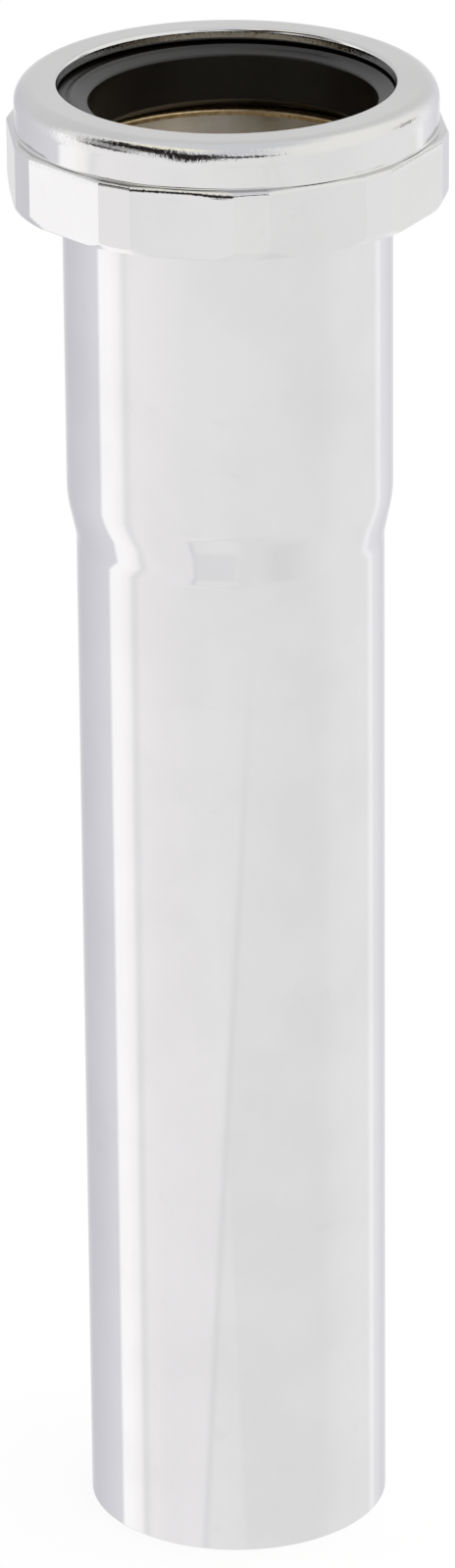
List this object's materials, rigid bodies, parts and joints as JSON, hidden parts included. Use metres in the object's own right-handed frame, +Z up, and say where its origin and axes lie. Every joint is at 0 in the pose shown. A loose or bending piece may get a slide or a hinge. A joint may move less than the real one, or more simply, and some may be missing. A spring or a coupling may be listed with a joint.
{
  "type": "drain extension tube",
  "caption": "Plated slip-joint extension tube for a basin waste, with a bell, a rubber washer and a faceted slip nut that screws up and down on a threaded ferrule.",
  "frame": {"origin": "centre of the tube's cut end, on the surface that it stands on", "axes": "+Z up along the tube's axis to the slip nut; -Y faces the picture's camera; +X to its right"},
  "size_m": [0.0446, 0.045, 0.159],
  "materials": {
    "plated_tube": "bright chrome plate",
    "ferrule_brass": "turned",
    "washer_rubber": "satin",
    "plated_nut": "bright chrome plate"
  },
  "bodies": {
    "extension_tube": {"tube": "plated_tube", "thread_ferrule": "ferrule_brass"},
    "washer_carrier": {"washer": "washer_rubber"},
    "nut": {"slip_nut": "plated_nut"}
  },
  "joints": [
    {"name": "nut_rise", "type": "slide", "parent": "extension_tube", "child": "washer_carrier", "axis": [0, 0, 1], "range_m": [0, 0.00302]},
    {"name": "nut_turn", "type": "hinge", "parent": "washer_carrier", "child": "nut", "pos_m": [0, 0, 0.153], "axis": [0, 0, 1], "range_deg": [0, 490]}
  ],
  "couplings": [
    {"joint": "nut_rise", "follows": "nut_turn", "m_per_rad": 0.00035152}
  ]
}
